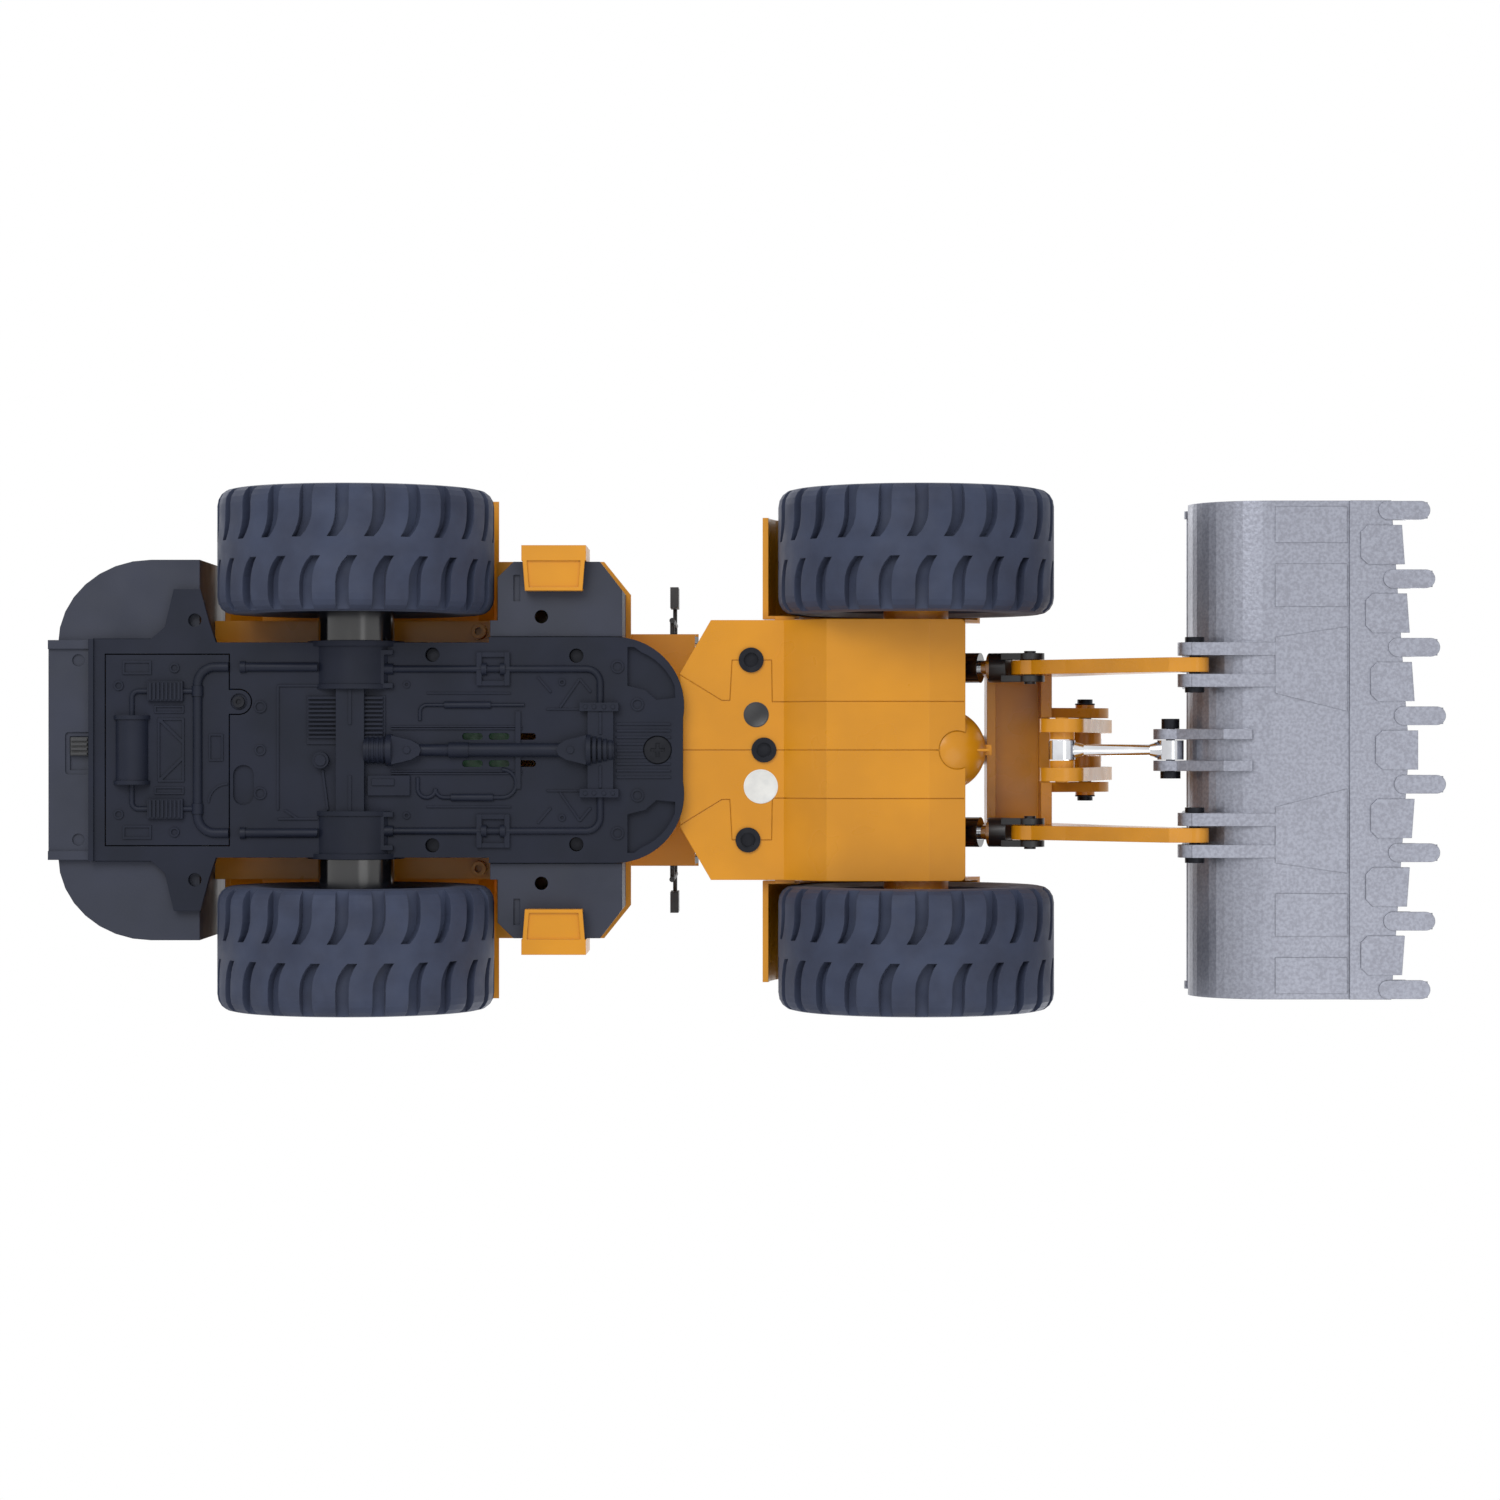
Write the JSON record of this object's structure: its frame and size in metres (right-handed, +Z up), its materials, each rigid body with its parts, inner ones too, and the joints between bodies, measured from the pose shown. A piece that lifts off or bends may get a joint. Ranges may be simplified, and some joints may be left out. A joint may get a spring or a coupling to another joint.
{
  "type": "toy wheel loader",
  "caption": "Articulated toy front loader with cab, counterweight, lift arms, bell crank and tilt cylinder moving a toothed bucket, lugged tyres and a moulded underside tray",
  "frame": {"origin": "Centre of the bounding box in X and Y, on the ground plane under the tyres in Z", "axes": "X forward along the machine to the bucket teeth, Y to the machine's left, Z up"},
  "size_m": [0.6215, 0.235, 0.267],
  "materials": {
    "tray_plastic": "moulded blue-grey, fine grain",
    "shell_plastic": "moulded near-black, fine grain",
    "body_paint": "glossy orange-yellow",
    "rim_plastic": "glossy orange-yellow",
    "loader_paint": "glossy orange-yellow enamel",
    "tyre_rubber": "soft dark grey rubber",
    "bucket_metal": "hammered grey metallic enamel",
    "chrome": "polished",
    "gloss_black": "polished black",
    "screw_steel": "blackened steel",
    "black_trim": "satin black",
    "lens_red": "tinted lens",
    "lens_clear": "clear lens",
    "window": "clear moulded pane",
    "battery_sleeve": "shrink sleeve",
    "board": "lacquered board",
    "motor_steel": "plated can",
    "servo_case": "moulded case"
  },
  "bodies": {
    "rear_frame": {"chassis_tray": "tray_plastic", "counterweight": "shell_plastic", "rear_bumper": "shell_plastic", "battery_cover": "tray_plastic", "battery_pack": "battery_sleeve", "chassis_screws": "screw_steel", "engine_hood": "body_paint", "rear_grille": "black_trim", "tail_lights": "lens_red", "exhaust_stack": "black_trim", "air_cleaner": "black_trim", "body_deck": "body_paint", "cab_frame": "black_trim", "cab_windows": "window", "cab_roof": "body_paint", "operator_seat": "black_trim", "steering_wheel": "black_trim", "cab_lights": "lens_clear", "handrails": "black_trim", "side_box_left": "shell_plastic", "side_box_right": "shell_plastic", "step_left": "body_paint", "step_right": "body_paint", "control_board": "board", "drive_motor": "motor_steel", "steering_motor": "servo_case", "rear_axle": "gloss_black", "articulation_pin": "screw_steel"},
    "switch_knob": {"power_switch": "black_trim"},
    "wheel_rear_left": {"tyre_rear_left": "tyre_rubber", "rim_rear_left": "rim_plastic"},
    "wheel_rear_right": {"tyre_rear_right": "tyre_rubber", "rim_rear_right": "rim_plastic"},
    "front_frame": {"front_cover": "body_paint", "loader_tower": "loader_paint", "front_axle": "body_paint", "frame_bushes": "screw_steel", "mudguard_left": "body_paint", "mudguard_right": "body_paint", "headlights": "lens_clear", "front_motor": "motor_steel"},
    "wheel_front_left": {"tyre_front_left": "tyre_rubber", "rim_front_left": "rim_plastic"},
    "wheel_front_right": {"tyre_front_right": "tyre_rubber", "rim_front_right": "rim_plastic"},
    "lift_arms": {"lift_arm_left": "loader_paint", "lift_arm_right": "loader_paint", "arm_beam": "loader_paint"},
    "crank": {"bell_crank": "loader_paint"},
    "bucket": {"bucket_shell": "bucket_metal", "bucket_teeth": "bucket_metal", "edge_segments": "bucket_metal", "bucket_pins": "screw_steel"},
    "link": {"tilt_link": "chrome"},
    "tilt_piston": {"tilt_rod": "chrome"},
    "tilt_tube": {"tilt_barrel": "gloss_black"},
    "lift_piston_left": {"lift_rod_left": "chrome"},
    "lift_piston_right": {"lift_rod_right": "chrome"},
    "lift_tube_left": {"lift_barrel_left": "gloss_black"},
    "lift_tube_right": {"lift_barrel_right": "gloss_black"}
  },
  "joints": [
    {"name": "articulation", "type": "hinge", "parent": "rear_frame", "child": "front_frame", "pos_m": [-0.03575, 0, 0.06], "axis": [0, 0, 1], "range_deg": [-33, 33]},
    {"name": "wheel_rear_left_spin", "type": "hinge", "parent": "rear_frame", "child": "wheel_rear_left", "pos_m": [-0.17275, 0.0895, 0.0625], "axis": [0, 1, 0], "continuous": true},
    {"name": "wheel_rear_right_spin", "type": "hinge", "parent": "rear_frame", "child": "wheel_rear_right", "pos_m": [-0.17275, -0.0895, 0.0625], "axis": [0, 1, 0], "continuous": true},
    {"name": "wheel_front_left_spin", "type": "hinge", "parent": "front_frame", "child": "wheel_front_left", "pos_m": [0.08125, 0.0895, 0.0625], "axis": [0, 1, 0], "continuous": true},
    {"name": "wheel_front_right_spin", "type": "hinge", "parent": "front_frame", "child": "wheel_front_right", "pos_m": [0.08125, -0.0895, 0.0625], "axis": [0, 1, 0], "continuous": true},
    {"name": "switch_slide", "type": "slide", "parent": "rear_frame", "child": "switch_knob", "axis": [0, 1, 0], "range_m": [0, 0.006]},
    {"name": "lift", "type": "hinge", "parent": "front_frame", "child": "lift_arms", "pos_m": [0.02625, 0, 0.146], "axis": [0, -1, 0], "range_deg": [0, 55]},
    {"name": "bucket_tilt", "type": "hinge", "parent": "lift_arms", "child": "bucket", "pos_m": [0.20175, 0, 0.01], "axis": [0, -1, 0], "range_deg": [-65, 25]},
    {"name": "crank_pivot", "type": "hinge", "parent": "lift_arms", "child": "crank", "pos_m": [0.16275, 0, 0.118], "axis": [0, -1, 0], "range_deg": [-5.4, 13.56]},
    {"name": "link_pivot", "type": "hinge", "parent": "bucket", "child": "link", "pos_m": [0.19325, 0, 0.03], "axis": [0, -1, 0], "range_deg": [-27.1, 69.66]},
    {"name": "tilt_rod_pivot", "type": "hinge", "parent": "crank", "child": "tilt_piston", "pos_m": [0.16725, 0, 0.152], "axis": [0, -1, 0], "range_deg": [-13.23, 5.28]},
    {"name": "tilt_stroke", "type": "slide", "parent": "tilt_piston", "child": "tilt_tube", "axis": [-0.9991, 0, -0.0425], "range_m": [-0.00797, 0.00319]},
    {"name": "lift_rod_left_pivot", "type": "hinge", "parent": "lift_arms", "child": "lift_piston_left", "pos_m": [0.13325, 0.0375, 0.066], "axis": [0, -1, 0], "range_deg": [-1.02, 0.2]},
    {"name": "lift_stroke_left", "type": "slide", "parent": "lift_piston_left", "child": "lift_tube_left", "axis": [-0.9423, 0, 0.3347], "range_m": [-0.0002, 0.03869]},
    {"name": "lift_rod_right_pivot", "type": "hinge", "parent": "lift_arms", "child": "lift_piston_right", "pos_m": [0.13325, -0.0375, 0.066], "axis": [0, -1, 0], "range_deg": [-1.02, 0.2]},
    {"name": "lift_stroke_right", "type": "slide", "parent": "lift_piston_right", "child": "lift_tube_right", "axis": [-0.9423, 0, 0.3347], "range_m": [-0.0002, 0.03869]}
  ],
  "couplings": [
    {"joint": "crank_pivot", "follows": "bucket_tilt", "ratio": -0.204},
    {"joint": "link_pivot", "follows": "bucket_tilt", "ratio": -1.064},
    {"joint": "tilt_rod_pivot", "follows": "bucket_tilt", "ratio": 0.199},
    {"joint": "tilt_stroke", "follows": "bucket_tilt", "m_per_rad": 0.00685},
    {"joint": "lift_rod_left_pivot", "follows": "lift", "ratio": -0.015},
    {"joint": "lift_stroke_left", "follows": "lift", "m_per_rad": 0.0401},
    {"joint": "lift_rod_right_pivot", "follows": "lift", "ratio": -0.015},
    {"joint": "lift_stroke_right", "follows": "lift", "m_per_rad": 0.0401}
  ]
}
